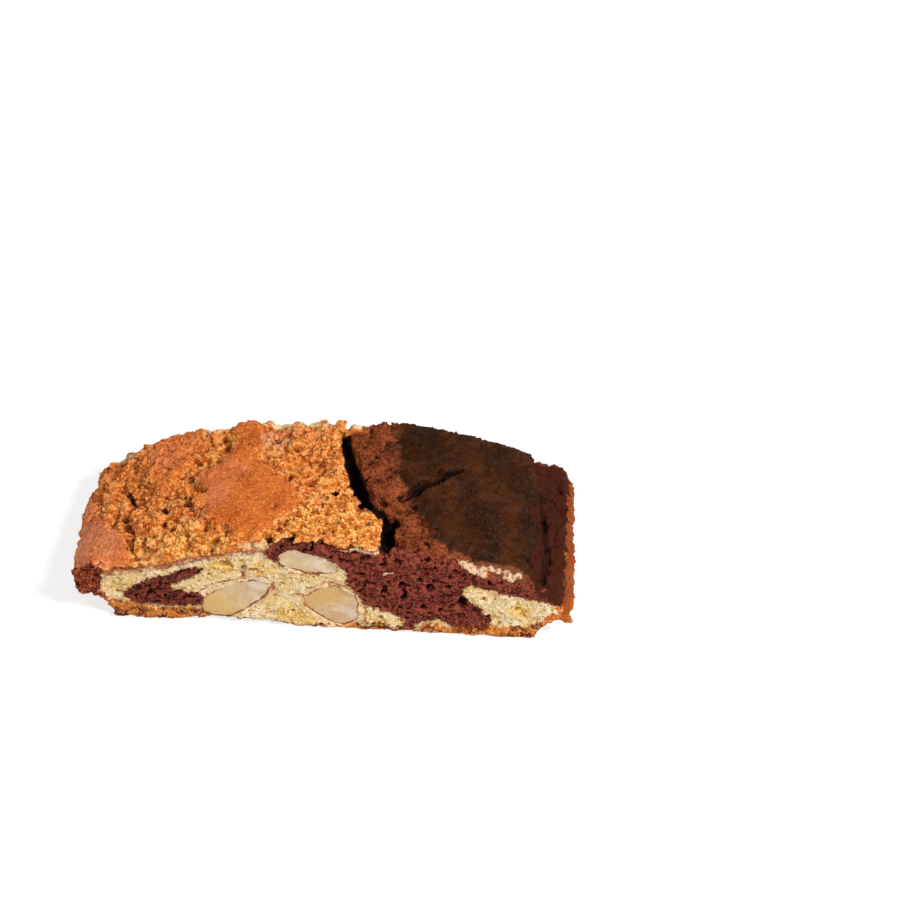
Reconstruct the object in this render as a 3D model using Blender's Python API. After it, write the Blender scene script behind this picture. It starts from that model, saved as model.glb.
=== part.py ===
"""One thick slice of a twice-baked almond loaf, marbled from plain and cocoa dough.

The slice lies on the flat base of its loaf, with its two cut faces upright. Its length runs along X,
its thickness along Y, and the cut face that shows looks towards -Y. The domed top has pale and cocoa
skin that split in the oven, with rough crumb and a deep seam between. Almonds that the knife went
through sit in sockets in both cut faces.
"""

import math

import bmesh
import bpy
from mathutils import Matrix, Vector, noise

MM = 0.001

# Driving sizes of the slice
THICKNESS = 34 * MM
FRONT_HEIGHT = 27.4 * MM
BACK_HEIGHT = 26.8 * MM
FRONT_CREST_X = -2 * MM
BACK_CREST_X = 2 * MM
LEFT_RADIUS = 85 * MM
RIGHT_RADIUS = 100 * MM
LEFT_REACH = 50.2 * MM
RIGHT_REACH = 51.2 * MM
LEFT_BULGE = 1.8 * MM
RIGHT_BULGE = 0.5 * MM
RIGHT_LEAN = 1.6 * MM
FOOT_INSET = 7.8 * MM
FOOT_SHARE = 0.7
FOOT_POWER = 0.6
SHOULDER_INSET = 1.3 * MM
SHOULDER_SHARE = 0.8
SHOULDER_LENGTH = 4 * MM
SHOULDER_DROP = 1.4 * MM

# How finely the solid is divided along its length, thickness and height, and the share of its half length
# at which the divisions follow the seam
LENGTH_CUTS = 68
THICKNESS_CUTS = 23
HEIGHT_CUTS = 11
SEAM_SHARE = 0.16

# Smooth skin left on the crust, as rounded lobes: centre x and y, half length and half depth, in millimetres
PLAIN_SKIN = [
    (-48, -7, 9, 13),
    (-35, 14, 13, 8),
    (-16, 13, 7, 9),
    (-16, -2, 9, 9),
    (-14, -13, 9.5, 6),
    (7, -13.5, 5.5, 3.5),
]
COCOA_SKIN = [(26, 2, 18, 17), (29, -8, 14.5, 10.5)]

# Splits in the crust: depth, then x, y and half width along the split, in millimetres
SEAM = (3.4, [(3, 18, 1.5), (3, 13, 1.5), (3.9, 7, 1.4), (6.1, 0, 1.9), (8.5, -4, 1.6), (11, -7.8, 1.8),
              (14.4, -10, 2.0), (14, -18, 2.0)])
SPLITS = [
    SEAM,
    (1.4, [(15.7, -3.8, 0.5), (18.9, -0.4, 0.8), (22.1, 3.2, 0.8), (27.4, 7.5, 0.5)]),
    (1.4, [(-41.5, -2, 0.8), (-38.6, -9.8, 0.9), (-38, -18, 0.7)]),
    (1.8, [(-25.5, 17, 0.9), (-23, 11.4, 1.1), (-20.6, 7.5, 0.8)]),
]
# Pits: centre x and y, radius and depth, in millimetres
PITS = [(-6.6, -0.6, 1.9, 2.4), (-13.4, 12.3, 1.2, 1.2), (-32.5, -3.5, 1.5, 1.5), (-30.2, -9.5, 1.4, 1.4),
        (-1.5, 6, 1.3, 1.3), (-2.5, -9.5, 1.3, 1.2)]

# The skin stands above the crumb, and its edge wanders and rounds over
SKIN_RISE = 0.7 * MM
SKIN_EDGE = (-0.6 * MM, 1.0 * MM)
EDGE_WANDER = 1.6 * MM
EDGE_WANDER_SPACING = 7 * MM
CRUMB_SINK = 0.5 * MM
CRAG_HEIGHT = 1.1 * MM
CRAG_SPACING = 3.6 * MM
SKIN_WAVE = 0.5 * MM
SKIN_WAVE_SPACING = 17 * MM

# Splits grow shallower near the back cut face
BACK_FADE = 0.65
BACK_FADE_FROM = 9 * MM
BACK_FADE_TO = 15 * MM

# Shares of a split's half width and of a pit's radius between which its wall falls
SPLIT_WALL = (0.35, 1.35)
PIT_WALL = (0.2, 1.2)

# Roughness of the cut faces and the end walls, which fades out at the base
CUT_ROUGHNESS = 0.28 * MM
CUT_ROUGHNESS_SPACING = 2.6 * MM
END_ROUGHNESS = 0.45 * MM
FLAT_SHARE = 0.2

# Almonds: name, cut face (-1 front, 1 back), centre x and z, tilt in degrees, and in millimetres the length
# and width in the cut face, the depth through the dough, and how far the middle lies behind the cut
ALMONDS = [
    ("almond_front_top", -1, -1.6, 20.5, -17, 13.9, 7.0, 17, 3.0),
    ("almond_front_left", -1, -17.0, 8.2, 38, 18.2, 8.5, 12, 1.5),
    ("almond_front_low", -1, 3.1, 7.2, -58, 13.5, 10.8, 16, 2.5),
    ("almond_back_right", 1, 24.0, 10.5, 24, 15.5, 7.4, 13, 2.0),
    ("almond_back_middle", 1, 3.0, 17.5, -14, 12.8, 5.8, 16, 3.0),
    ("almond_back_left", 1, -21.5, 8.6, -32, 14.0, 8.4, 15, 2.5),
]
ALMOND_SEGMENTS = 18
ALMOND_RINGS = 12
ALMOND_TAPER = 0.24
SOCKET_GAP = 0.35 * MM
CUT_RECESS = 0.12 * MM

PLAIN_COLOUR = (0.52, 0.19, 0.05, 1)
ALMOND_COLOUR = (0.72, 0.56, 0.34, 1)


def clear_scene():
    for thing in list(bpy.data.objects):
        bpy.data.objects.remove(thing)


def new_collection(name, hidden=False):
    collection = bpy.data.collections.new(name)
    bpy.context.scene.collection.children.link(collection)
    collection.hide_render = hidden
    return collection


def plain_material(name, colour, roughness):
    material = bpy.data.materials.new(name)
    material.use_nodes = True
    shader = material.node_tree.nodes["Principled BSDF"]
    shader.inputs["Base Color"].default_value = colour
    shader.inputs["Roughness"].default_value = roughness
    shader.inputs["Metallic"].default_value = 0
    material.diffuse_color = colour
    return material


def smooth_step(low, high, value):
    share = min(max((value - low) / (high - low), 0), 1)
    return share * share * (3 - 2 * share)


def noise_at(x, y, z, spacing):
    return noise.noise(Vector((x, y, z)) / spacing)


# The loaf's own form

def depth_share(y):
    """0 at the front cut face and 1 at the back one."""
    return min(max(y / THICKNESS + 0.5, 0), 1)


def dome_height(x, y):
    back = depth_share(y)
    crest_x = FRONT_CREST_X + (BACK_CREST_X - FRONT_CREST_X) * back
    crest = FRONT_HEIGHT + (BACK_HEIGHT - FRONT_HEIGHT) * back
    along = x - crest_x
    radius = RIGHT_RADIUS if along > 0 else LEFT_RADIUS
    arc = crest - radius + math.sqrt(radius ** 2 - along ** 2)
    reach = RIGHT_REACH if x > 0 else LEFT_REACH
    return arc - SHOULDER_DROP * smooth_step(reach - SHOULDER_LENGTH, reach, abs(x))


def end_reach(side, y, height_share):
    """How far the end wall on this side stands from the middle at this depth and share of its height."""
    if side > 0:
        reach = RIGHT_REACH - RIGHT_LEAN * depth_share(y)
        bulge = RIGHT_BULGE
    else:
        reach = LEFT_REACH
        bulge = LEFT_BULGE
    reach += bulge * (1 - ((y - 2 * MM) / (THICKNESS / 2)) ** 2)
    foot = max(1 - height_share / FOOT_SHARE, 0)
    shoulder = max((height_share - SHOULDER_SHARE) / (1 - SHOULDER_SHARE), 0)
    return reach - FOOT_INSET * foot ** FOOT_POWER - SHOULDER_INSET * shoulder ** 2


def seam_x(y):
    """Where the middle of the seam between the two doughs lies at this depth."""
    _, path = SEAM
    for (ax, ay, _), (bx, by, _) in zip(path, path[1:]):
        if by * MM <= y <= ay * MM:
            return (ax + (bx - ax) * (y / MM - ay) / (by - ay)) * MM
    return path[-1][0] * MM


def length_place(across, y, height_share):
    """X of a point of the divided cube. The cube's cross lines bend to run along the seam."""
    reach = end_reach(across, y, height_share)
    room = 1 - SEAM_SHARE if across > SEAM_SHARE else 1 + SEAM_SHARE
    follow = 1 - ((across - SEAM_SHARE) / room) ** 2
    return across * reach + (seam_x(y) - SEAM_SHARE * reach) * follow


# Relief of the crust

def lobe_depth(x, y, lobes):
    """How far inside the nearest lobe a point lies, about in metres. It is negative outside."""
    deepest = -1.0
    for centre_x, centre_y, half_x, half_y in lobes:
        across = abs(x / MM - centre_x) / half_x
        deep = abs(y / MM - centre_y) / half_y
        inside = 1 - (across ** 3 + deep ** 3) ** (1 / 3)
        deepest = max(deepest, inside * min(half_x, half_y) * MM)
    return deepest


def split_depth(x, y, depth, path):
    """Depth below the crust of a split that runs along this path."""
    closest = 1.0
    for (ax, ay, wa), (bx, by, wb) in zip(path, path[1:]):
        start = Vector((ax, ay)) * MM
        run = Vector((bx, by)) * MM - start
        share = min(max((Vector((x, y)) - start).dot(run) / run.length_squared, 0), 1)
        away = (Vector((x, y)) - start - run * share).length
        closest = min(closest, away / ((wa + (wb - wa) * share) * MM))
    fade = 1 - BACK_FADE * smooth_step(BACK_FADE_FROM, BACK_FADE_TO, y)
    return depth * MM * fade * (1 - smooth_step(*SPLIT_WALL, closest))


def pit_depth(x, y):
    deepest = 0.0
    for centre_x, centre_y, radius, depth in PITS:
        away = math.hypot(x / MM - centre_x, y / MM - centre_y) / radius
        deepest = max(deepest, depth * MM * (1 - smooth_step(*PIT_WALL, away)))
    return deepest


def crust_relief(x, y):
    """How far the crust stands above the plain dome at a point. Each pattern reads its own level of noise."""
    warp_x = EDGE_WANDER * noise_at(x, y, 0.3, EDGE_WANDER_SPACING)
    warp_y = EDGE_WANDER * noise_at(x, y, 0.9, EDGE_WANDER_SPACING)
    inside = lobe_depth(x + warp_x, y + warp_y, PLAIN_SKIN + COCOA_SKIN)
    skin = smooth_step(*SKIN_EDGE, inside)
    crag = noise_at(x, y, 0, CRAG_SPACING) + 0.6 * noise_at(x, y, 0.02, CRAG_SPACING / 2)
    wave = SKIN_WAVE * noise_at(x, y, 0.05, SKIN_WAVE_SPACING)
    rough = CRAG_HEIGHT * crag - CRUMB_SINK
    split = max(split_depth(x + warp_x / 2, y, depth, path) for depth, path in SPLITS)
    return wave + rough + (SKIN_RISE - rough) * skin - max(split, pit_depth(x, y))


# The dough

def divided_cube():
    """A cube from -1 to 1 whose edges are divided along each axis."""
    cube = bmesh.new()
    bmesh.ops.create_cube(cube, size=2)
    for axis, cuts in enumerate((LENGTH_CUTS, THICKNESS_CUTS, HEIGHT_CUTS)):
        along = [edge for edge in cube.edges
                 if abs(abs((edge.verts[0].co - edge.verts[1].co)[axis]) - 2) < 1e-6]
        bmesh.ops.subdivide_edges(cube, edges=along, cuts=cuts, use_grid_fill=True)
    return cube


def shape_slice(cube):
    """Carries each point of the divided cube to its place on the slice."""
    for vertex in cube.verts:
        across, deep, up = vertex.co
        height_share = (up + 1) / 2
        y = deep * THICKNESS / 2
        x = length_place(across, y, height_share)
        z = height_share * (dome_height(x, y) + crust_relief(x, y))
        rise = smooth_step(0, FLAT_SHARE, height_share)
        if abs(deep) > 0.999:
            y += CUT_ROUGHNESS * rise * noise_at(x, y, z, CUT_ROUGHNESS_SPACING)
        if abs(across) > 0.999:
            x += END_ROUGHNESS * rise * noise_at(x, y, z, CRAG_SPACING)
        vertex.co = (x, y, z)


def make_dough(parts, material):
    solid = divided_cube()
    shape_slice(solid)
    flat = [face for face in solid.faces if all(abs(vertex.co.z) < 1e-7 for vertex in face.verts)]
    inner = {edge for face in flat for edge in face.edges if all(side in flat for side in edge.link_faces)}
    bmesh.ops.dissolve_edges(solid, edges=list(inner), use_verts=True)
    mesh = bpy.data.meshes.new("biscuit_dough")
    solid.to_mesh(mesh)
    solid.free()
    mesh.materials.append(material)
    dough = bpy.data.objects.new("biscuit_dough", mesh)
    parts.objects.link(dough)
    return dough


# The almonds

def almond_body(length, width, depth, grow):
    """A whole almond, blunt at one end and pointed at the other, its length along X."""
    body = bmesh.new()
    bmesh.ops.create_uvsphere(body, u_segments=ALMOND_SEGMENTS, v_segments=ALMOND_RINGS, radius=1)
    bmesh.ops.rotate(body, verts=body.verts, matrix=Matrix.Rotation(math.pi / 2, 3, "Y"))
    for vertex in body.verts:
        along, deep, up = vertex.co
        girth = 1 - ALMOND_TAPER * along
        vertex.co = (
            along * (length / 2 + grow),
            deep * girth * (depth / 2 + grow),
            up * girth * (width / 2 + grow),
        )
    return body


def almond_object(name, face, x, z, tilt, length, width, depth, behind, grow):
    body = almond_body(length * MM, width * MM, depth * MM, grow)
    middle_y = face * (THICKNESS / 2 - behind * MM)
    place = Matrix.Translation((x * MM, middle_y, z * MM)) @ Matrix.Rotation(-math.radians(tilt), 4, "Y")
    bmesh.ops.transform(body, matrix=place, verts=body.verts)
    if grow == 0:
        cut_y = face * (THICKNESS / 2 - CUT_RECESS)
        sides = body.verts[:] + body.edges[:] + body.faces[:]
        cut = bmesh.ops.bisect_plane(body, geom=sides, plane_co=(0, cut_y, 0), plane_no=(0, face, 0),
                                     clear_outer=True)
        rim = [part for part in cut["geom_cut"] if isinstance(part, bmesh.types.BMEdge)]
        bmesh.ops.holes_fill(body, edges=rim)
    bmesh.ops.recalc_face_normals(body, faces=body.faces)
    mesh = bpy.data.meshes.new(name)
    body.to_mesh(mesh)
    body.free()
    return bpy.data.objects.new(name, mesh)


def make_almonds(parts, cutters, dough, material):
    """Each almond, and the socket that holds it."""
    for name, *sizes in ALMONDS:
        almond = almond_object(name, *sizes, grow=0)
        almond.data.materials.append(material)
        almond.data.shade_smooth()
        almond.data.set_sharp_from_angle(angle=math.radians(40))
        parts.objects.link(almond)
        socket = almond_object(name + "_socket", *sizes, grow=SOCKET_GAP)
        socket.hide_render = True
        socket.display_type = "WIRE"
        cutters.objects.link(socket)
        cut = dough.modifiers.new(name, "BOOLEAN")
        cut.operation = "DIFFERENCE"
        cut.solver = "EXACT"
        cut.object = socket


def centre_on_origin(parts, dough):
    """Puts the middle of the slice's base at the origin."""
    corners = [vertex.co for vertex in dough.data.vertices]
    shift_x, shift_y = (-(min(c[axis] for c in corners) + max(c[axis] for c in corners)) / 2
                        for axis in (0, 1))
    shift = Matrix.Translation((shift_x, shift_y, 0))
    for collection in parts:
        for thing in collection.objects:
            thing.data.transform(shift)


def main():
    clear_scene()
    parts = new_collection("almond_biscuit")
    cutters = new_collection("sockets", hidden=True)
    dough = make_dough(parts, plain_material("baked_dough", PLAIN_COLOUR, 0.85))
    make_almonds(parts, cutters, dough, plain_material("almond", ALMOND_COLOUR, 0.55))
    centre_on_origin((parts, cutters), dough)


main()
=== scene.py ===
import math
import random

import bmesh
import bpy
import numpy as np
from mathutils import Matrix, Vector, noise


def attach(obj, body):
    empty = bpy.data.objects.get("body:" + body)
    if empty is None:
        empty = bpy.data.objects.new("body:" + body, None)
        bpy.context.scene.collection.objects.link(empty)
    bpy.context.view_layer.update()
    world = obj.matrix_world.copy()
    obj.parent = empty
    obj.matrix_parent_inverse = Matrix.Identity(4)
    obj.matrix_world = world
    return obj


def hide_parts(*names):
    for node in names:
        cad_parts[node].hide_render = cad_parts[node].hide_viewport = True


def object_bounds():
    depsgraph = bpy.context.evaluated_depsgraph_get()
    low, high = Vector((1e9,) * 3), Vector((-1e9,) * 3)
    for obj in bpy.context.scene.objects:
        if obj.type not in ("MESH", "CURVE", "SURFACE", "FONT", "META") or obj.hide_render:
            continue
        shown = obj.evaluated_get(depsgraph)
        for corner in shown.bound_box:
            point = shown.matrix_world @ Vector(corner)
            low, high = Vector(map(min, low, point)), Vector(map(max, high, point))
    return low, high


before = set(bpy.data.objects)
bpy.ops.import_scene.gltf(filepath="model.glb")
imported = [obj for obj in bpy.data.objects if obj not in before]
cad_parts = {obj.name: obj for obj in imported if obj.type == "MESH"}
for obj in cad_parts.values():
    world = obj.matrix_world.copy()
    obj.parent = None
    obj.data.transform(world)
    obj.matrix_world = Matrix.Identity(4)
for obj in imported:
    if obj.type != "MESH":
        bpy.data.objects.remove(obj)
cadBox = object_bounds()

mm = 0.001  # the dough is shaped in millimetres and made metres at the end


def smoothStep(low, high, value):
    share = np.clip((value - low) / (high - low), 0, 1)
    return share * share * (3 - 2 * share)


def fade(low, high, value):
    return 1 - smoothStep(low, high, value)


def mixed(a, b, share):
    return a + (b - a) * share


def noiseAt(x, y, z, spacing):
    points = np.stack(np.broadcast_arrays(x, y, z), -1).reshape(-1, 3) / spacing
    return np.array([noise.noise(point) for point in points.tolist()]).reshape(np.shape(x))


def cellsAt(x, y, z, spacing):
    # Distance to the nearest and the second nearest of a scatter of points about one spacing apart
    points = np.stack(np.broadcast_arrays(x, y, z), -1).reshape(-1, 3) / spacing
    near = np.array([noise.voronoi(point)[0][:2] for point in points.tolist()])
    return near[:, 0].reshape(np.shape(x)), near[:, 1].reshape(np.shape(x))


def insideDepth(u, v, outline):
    # Distance in mm to a closed outline, positive inside it
    nearest = np.full(np.shape(u), 1e9)
    inside = np.zeros(np.shape(u), bool)
    for (startU, startV), (endU, endV) in zip(outline, outline[1:] + outline[:1]):
        runU, runV = endU - startU, endV - startV
        share = np.clip(((u - startU) * runU + (v - startV) * runV) / (runU ** 2 + runV ** 2), 0, 1)
        nearest = np.minimum(nearest, np.hypot(u - startU - share * runU, v - startV - share * runV))
        level = endV - startV if endV != startV else 1e-9
        crosses = ((startV > v) != (endV > v)) & (u < runU * (v - startV) / level + startU)
        inside ^= crosses
    return np.where(inside, nearest, -nearest)


def deepest(u, v, outlines):
    return np.max([insideDepth(u, v, outline) for outline in outlines], axis=0)


def meshOf(form, name):
    mesh = bpy.data.meshes.new(name)
    form.to_mesh(mesh)
    form.free()
    return mesh


def placed(name, data):
    thing = bpy.data.objects.new(name, data)
    bpy.context.scene.collection.objects.link(thing)
    return thing


def evaluated(thing):
    # The thing with its modifiers, as a mesh of its own
    bpy.context.view_layer.update()
    return bpy.data.meshes.new_from_object(thing.evaluated_get(bpy.context.evaluated_depsgraph_get()))


# Camera, at the photograph's angle. The middle of the base was solved to lie at this pixel of the frame.
view = {"azimuth": 4, "elevation": 48, "distance": 0.5, "lens": 95.2, "sensor": 36, "basePixel": (330, 563),
        "frame": 900}


def makeCamera(baseMiddle):
    turn, lift = math.radians(view["azimuth"]), math.radians(view["elevation"])
    back = Vector((math.sin(turn) * math.cos(lift), -math.cos(turn) * math.cos(lift), math.sin(lift)))
    right = (-back).cross(Vector((0, 0, 1))).normalized()
    up = right.cross(-back)
    perPixel = view["distance"] * view["sensor"] / view["lens"] / view["frame"]
    offX, offY = view["frame"] / 2 - view["basePixel"][0], view["basePixel"][1] - view["frame"] / 2
    camera = placed("camera", bpy.data.cameras.new("camera"))
    camera.data.lens = view["lens"]
    camera.data.sensor_width = view["sensor"]
    place = baseMiddle + back * view["distance"] + (right * offX + up * offY) * perPixel
    camera.matrix_world = Matrix.Translation(place) @ Matrix((right, up, back)).transposed().to_4x4()
    bpy.context.scene.camera = camera


# The loaf's own form, in the part's measures
loaf = {
    "thickness": 34, "frontHeight": 27.4, "backHeight": 26.8, "frontCrestX": -2, "backCrestX": 2,
    "leftRadius": 85, "rightRadius": 100, "leftReach": 50.2, "rightReach": 51.2, "leftBulge": 1.8,
    "rightBulge": 0.5, "rightLean": 1.6,
    "footInset": 7.8, "footShare": 0.7, "footPower": 0.6, "shoulderInset": 1.3, "shoulderShare": 0.8,
    "shoulderLength": 4, "shoulderDrop": 1.4, "cuts": (190, 62, 48),
}
half = loaf["thickness"] / 2


def domeHeight(x, y):
    back = np.clip(y / loaf["thickness"] + 0.5, 0, 1)
    along = x - mixed(loaf["frontCrestX"], loaf["backCrestX"], back)
    crest = mixed(loaf["frontHeight"], loaf["backHeight"], back)
    radius = np.where(along > 0, loaf["rightRadius"], loaf["leftRadius"])
    arc = crest - radius + np.sqrt(radius ** 2 - along ** 2)
    reach = np.where(x > 0, loaf["rightReach"], loaf["leftReach"])
    return arc - loaf["shoulderDrop"] * smoothStep(reach - loaf["shoulderLength"], reach, np.abs(x))


def endReach(side, y, share):
    back = np.clip(y / loaf["thickness"] + 0.5, 0, 1)
    reach = np.where(side > 0, loaf["rightReach"] - loaf["rightLean"] * back, loaf["leftReach"])
    bulge = np.where(side > 0, loaf["rightBulge"], loaf["leftBulge"])
    reach = reach + bulge * (1 - ((y - 2) / half) ** 2)
    foot = np.maximum(1 - share / loaf["footShare"], 0)
    shoulder = np.maximum((share - loaf["shoulderShare"]) / (1 - loaf["shoulderShare"]), 0)
    return reach - loaf["footInset"] * foot ** loaf["footPower"] - loaf["shoulderInset"] * shoulder ** 2


# The crust seen from above: plates of smooth skin, splits and pits, as x and y in mm
crust = {
    "plates": [  # strength, softness and outline
        (1, 2.4, [(-60, -1), (-50, -0.5), (-46, -3), (-42.5, -8), (-39, -10.5), (-37.6, -14), (-38.2, -22),
                  (-60, -22)]),
        (1, 2.4, [(-60, 10), (-50.5, 10), (-49.6, 4), (-49, -1), (-60, -1)]),
        (0.7, 3, [(-38.5, 22), (-38.8, 12), (-39.5, 7), (-37, 3.5), (-34.4, -1), (-31.2, -0.5), (-29.6, 5),
                  (-28.2, 9), (-26.4, 12), (-26.2, 22)]),
        (0.9, 3, [(-20.8, 22), (-21.6, 14), (-19.8, 9.5), (-22, 5), (-12, 3), (-13, 8), (-14.8, 11),
                  (-14.4, 15), (-16, 22)]),
        (1, 3, [(-19, 8.5), (-23.5, 7), (-26.2, 2), (-26.8, -3), (-24, -8), (-22, -13), (-18, -15.4),
                (-13, -16.4), (-9, -13.5), (-7, -9), (-5.6, -5), (-7.5, -1), (-10, 2), (-13, 6)]),
        (1, 7, [(10, 22), (9.6, 10), (10.4, 3), (12.4, -2), (14.6, -6), (17.4, -9), (20.6, -12.6),
                (25, -16.4), (40, -17.6), (40, 22)]),
        (1, 2.4, [(22, 22), (22, 2), (24, -6), (30, -13), (36, -15.6), (41.5, -16.2), (42.6, -12),
                  (43.4, -6), (43.6, 0), (43.8, 6), (43, 13), (41.5, 22)]),
    ],
    "ragged": 3.2, "plateRise": 0.7, "crumbSink": 0.95, "cragHeight": 1.4, "cragSpacing": 4.0,
    "wave": 0.5, "waveSpacing": 17, "clumps": 4.4, "gully": 0.95, "backFade": 0.65, "frontFade": 0.75,
    "cocoaFrom": (8, 16), "cocoaWave": 0.55,
    "seam": (4.0, [(3, 20, 1.1), (3, 13, 1.1), (3.9, 7, 1.2), (6.2, 1, 1.8), (8.2, -4, 1.5),
                   (10.2, -7.2, 1.2), (13.8, -9.6, 1.4), (14.0, -20, 1.6)]),
    "splits": [
        (2.4, [(15.2, -3.6, 0.5), (18, -1.6, 0.9), (19.6, 1.2, 1.1), (22.4, 2.4, 0.8), (24.2, 5.2, 1.1),
               (27.4, 6.8, 0.5)]),
        (1.4, [(12.5, -5, 0.6), (15, -6.6, 0.7), (17.6, -5.6, 0.5)]),
        (2.2, [(-41, 4, 0.7), (-39.8, 0, 1.2), (-40.6, -4, 0.8), (-38.8, -8.5, 0.9), (-37.6, -12, 0.8),
               (-37.8, -20, 0.6)]),
        (2.0, [(-24.5, 20, 0.7), (-22.9, 12.5, 1.3), (-21.2, 9, 0.8)]),
        (1.7, [(-33.2, -4, 0.7), (-31.4, -7, 0.9), (-31.6, -10.5, 0.9)]),
        (1.6, [(43.4, 7, 0.5), (44.6, 0, 0.9), (45.5, -6, 1.3), (45.2, -11, 1.1), (44.4, -15, 0.6)]),
        (1.3, [(-28.2, 4, 0.5), (-27.4, -1, 0.9), (-25.6, -7, 0.5), (-22.5, -13, 0.5)]),
    ],
    "pits": [(-7, 0.6, 1.5, 3.2), (-7.6, 3.4, 0.9, 1.8), (-13.4, 12.3, 1.0, 1.2), (-3.4, 11.4, 0.9, 1.8),
             (1.8, -7.6, 1.0, 1.6), (-2, -14.2, 0.7, 1.0), (3.4, -13.8, 0.6, 1.0), (7.6, -10, 0.7, 1.8),
             (9.6, -9.6, 0.5, 1.4), (-1.2, 6, 1.2, 1.5), (31, 4, 0.5, 0.9), (21, -9, 0.5, 0.8),
             (-47, 6, 0.8, 1.2), (-44, 1, 0.8, 1.2), (-36, -6, 0.8, 1.4), (-34.5, -8.5, 0.7, 1.3),
             (-29.5, -13, 0.7, 1.2), (-24.5, -12.5, 0.6, 1.2), (-44.5, 9, 0.7, 1.2)],
}


def splitDepth(x, y, depth, path):
    closest = np.full(np.shape(x), 9.0)
    for (startX, startY, startWide), (endX, endY, endWide) in zip(path, path[1:]):
        runX, runY = endX - startX, endY - startY
        share = np.clip(((x - startX) * runX + (y - startY) * runY) / (runX ** 2 + runY ** 2), 0, 1)
        away = np.hypot(x - startX - share * runX, y - startY - share * runY)
        closest = np.minimum(closest, away / mixed(startWide, endWide, share))
    return depth * fade(0.45, 1.25, closest)


def seamX(y):
    stops = crust["seam"][1]
    return np.interp(-y, [-stop[1] for stop in stops], [stop[0] for stop in stops])


def plateShare(x, y):
    # 1 on a plate of smooth skin and 0 on the rough crumb between them
    wanderX = crust["ragged"] * noiseAt(x, y, 300, 5) + 1.3 * noiseAt(x, y, 320, 1.8)
    wanderY = crust["ragged"] * noiseAt(x, y, 900, 5) + 1.3 * noiseAt(x, y, 920, 1.8)
    x, y = x + wanderX, y + wanderY
    return np.max([strength * smoothStep(-0.35 * soft, 0.65 * soft, insideDepth(x, y, outline))
                   for strength, soft, outline in crust["plates"]], axis=0)


def crustRelief(x, y):
    wander = 0.8 * noiseAt(x, y, 300, 4)
    plate = plateShare(x, y)
    crag = noiseAt(x, y, 0, crust["cragSpacing"]) + 0.6 * noiseAt(x, y, 20, crust["cragSpacing"] / 2)
    near, far = cellsAt(x + 1.2 * noiseAt(x, y, 60, 2.2), y, 5, crust["clumps"])
    gully = crust["gully"] * fade(0.02, 0.26, far - near) * smoothStep(-0.3, 0.1, noiseAt(x, y, 70, 5))
    rough = crust["cragHeight"] * crag - crust["crumbSink"] - gully
    split = np.max([splitDepth(x + wander, y, *path) for path in [crust["seam"]] + crust["splits"]], axis=0)
    split = split * (1 - crust["backFade"] * smoothStep(9, 15, y))
    split = split * (1 - crust["frontFade"] * fade(-16.6, -14.2, y))
    pit = np.max([depth * fade(0.3, 1.2, np.hypot(x - middleX, y - middleY) / radius)
                  for middleX, middleY, radius, depth in crust["pits"]], axis=0)
    wave = crust["wave"] * noiseAt(x, y, 50, crust["waveSpacing"])
    ripple = noiseAt(x, y, 240, 5.5) + 0.5 * noiseAt(x, y, 260, 2.6)
    wave = wave + crust["cocoaWave"] * smoothStep(*crust["cocoaFrom"], x) * ripple
    return wave + mixed(rough, crust["plateRise"], plate) - np.maximum(split, pit)


# Where the rim of the dome rolls over into the cut faces, and where the base lifts off the table
rims = {"rollLength": 2.6, "frontRoll": 1.5, "cocoaRoll": 0.5, "backRoll": 0.8, "liftLength": 5, "lift": 1.4,
        "liftFrom": -31, "liftTo": -4, "liftRamp": 7}


def rimRoll(x, y):
    leftShare = fade(-17, -7, x)
    front = mixed(rims["cocoaRoll"], rims["frontRoll"], leftShare)
    frontShare = fade(0, rims["rollLength"], y + half)
    backShare = fade(0, rims["rollLength"], half - y)
    return front * frontShare ** 2 + rims["backRoll"] * backShare ** 2


def baseLift(x, y):
    start = smoothStep(rims["liftFrom"], rims["liftFrom"] + rims["liftRamp"], x)
    along = start * fade(rims["liftTo"] - rims["liftRamp"], rims["liftTo"], x)
    front = fade(0, rims["liftLength"], y + half)
    edge = fade(0, 1.6, half - np.abs(y))
    return rims["lift"] * along * front + 0.55 * edge * np.maximum(noiseAt(x, y, 40, 2.6), 0)


def sliceForm():
    # The slice without its crumbs: a divided cube carried to the loaf's form
    form = bmesh.new()
    bmesh.ops.create_cube(form, size=2)
    for axis, cuts in enumerate(loaf["cuts"]):
        along = [edge for edge in form.edges
                 if abs(abs((edge.verts[0].co - edge.verts[1].co)[axis]) - 2) < 1e-6]
        bmesh.ops.subdivide_edges(form, edges=along, cuts=cuts, use_grid_fill=True)
    across, deep, up = np.array([vertex.co for vertex in form.verts]).T
    share = (up + 1) / 2
    y = deep * half
    x = across * endReach(across, y, share)
    lift = baseLift(x, y) * (1 - share) ** 4
    z = share * (domeHeight(x, y) + crustRelief(x, y) - rimRoll(x, y)) + lift
    rise = smoothStep(0, 0.2, share)
    y = y + np.where(np.abs(deep) > 0.999, 0.28 * rise * noiseAt(x, y, z, 2.6), 0)
    x = x + np.where(np.abs(across) > 0.999, 0.45 * rise * noiseAt(x, y, z, 3.6), 0)
    for vertex, place in zip(form.verts, np.stack((x, y, z), -1).tolist()):
        vertex.co = place
    return form


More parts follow.
